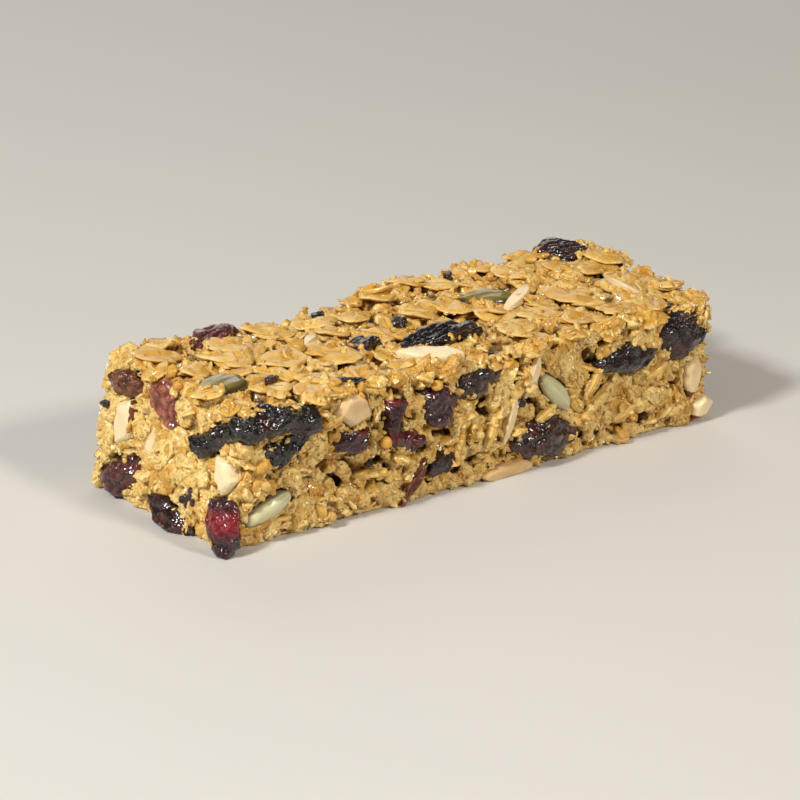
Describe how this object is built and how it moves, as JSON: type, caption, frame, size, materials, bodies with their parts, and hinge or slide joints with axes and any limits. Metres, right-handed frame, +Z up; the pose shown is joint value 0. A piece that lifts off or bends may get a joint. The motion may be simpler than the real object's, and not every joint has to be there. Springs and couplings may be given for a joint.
{
  "type": "granola bar",
  "caption": "Oblong bar of pressed rolled oats in set syrup, with dried fruit, chopped almonds and seeds bedded in every face.",
  "frame": {"origin": "middle of the base, on the plane that the bar rests on", "axes": "+X along the bar towards its far end, +Y across it towards its back side, +Z up"},
  "size_m": [0.11, 0.0346, 0.0234],
  "materials": {
    "oats": "golden baked oats, crumbly, with sticky syrup in the hollows",
    "raisin": "dark brown wrinkled skin, sticky gloss",
    "sultana": "reddish brown wrinkled skin, soft gloss",
    "cranberry": "dark red leathery skin, gloss on the folds",
    "prune": "near-black crinkled skin, dull gloss",
    "almond": "cream cut nut with red-brown skin at the edges",
    "pumpkin_seed": "olive green smooth seed coat",
    "sunflower_seed": "pale grey-green kernel"
  },
  "bodies": {
    "root": {"almond_back": "almond", "almond_front_edge": "almond", "almond_front_far": "almond", "almond_front_far_foot": "almond", "almond_front_foot": "almond", "almond_near": "almond", "almond_near_pale": "almond", "almond_top_slice": "almond", "almond_under": "almond", "cranberry_back": "cranberry", "cranberry_far_low": "cranberry", "cranberry_front_curl": "cranberry", "cranberry_front_dark": "cranberry", "cranberry_front_mauve": "cranberry", "cranberry_near_corner": "cranberry", "cranberry_under": "cranberry", "oat_block": "oats", "prune_back": "prune", "prune_front_corner": "prune", "prune_near_corner": "prune", "pumpkin_seed_back": "pumpkin_seed", "pumpkin_seed_top_far": "pumpkin_seed", "pumpkin_seed_top_near": "pumpkin_seed", "pumpkin_seed_under": "pumpkin_seed", "raisin_back_foot": "raisin", "raisin_back_middle": "raisin", "raisin_far_high": "raisin", "raisin_front_big": "raisin", "raisin_front_bit": "raisin", "raisin_front_far": "raisin", "raisin_front_high": "raisin", "raisin_near_foot": "raisin", "raisin_near_low": "raisin", "raisin_top_back_far": "raisin", "raisin_top_back_near": "raisin", "raisin_top_long": "raisin", "raisin_top_small": "raisin", "raisin_under_near": "raisin", "sultana_near_brown": "sultana", "sultana_near_red": "sultana", "sunflower_seed_far": "sunflower_seed", "sunflower_seed_front_low": "sunflower_seed", "sunflower_seed_front_mid": "sunflower_seed"}
  },
  "joints": []
}
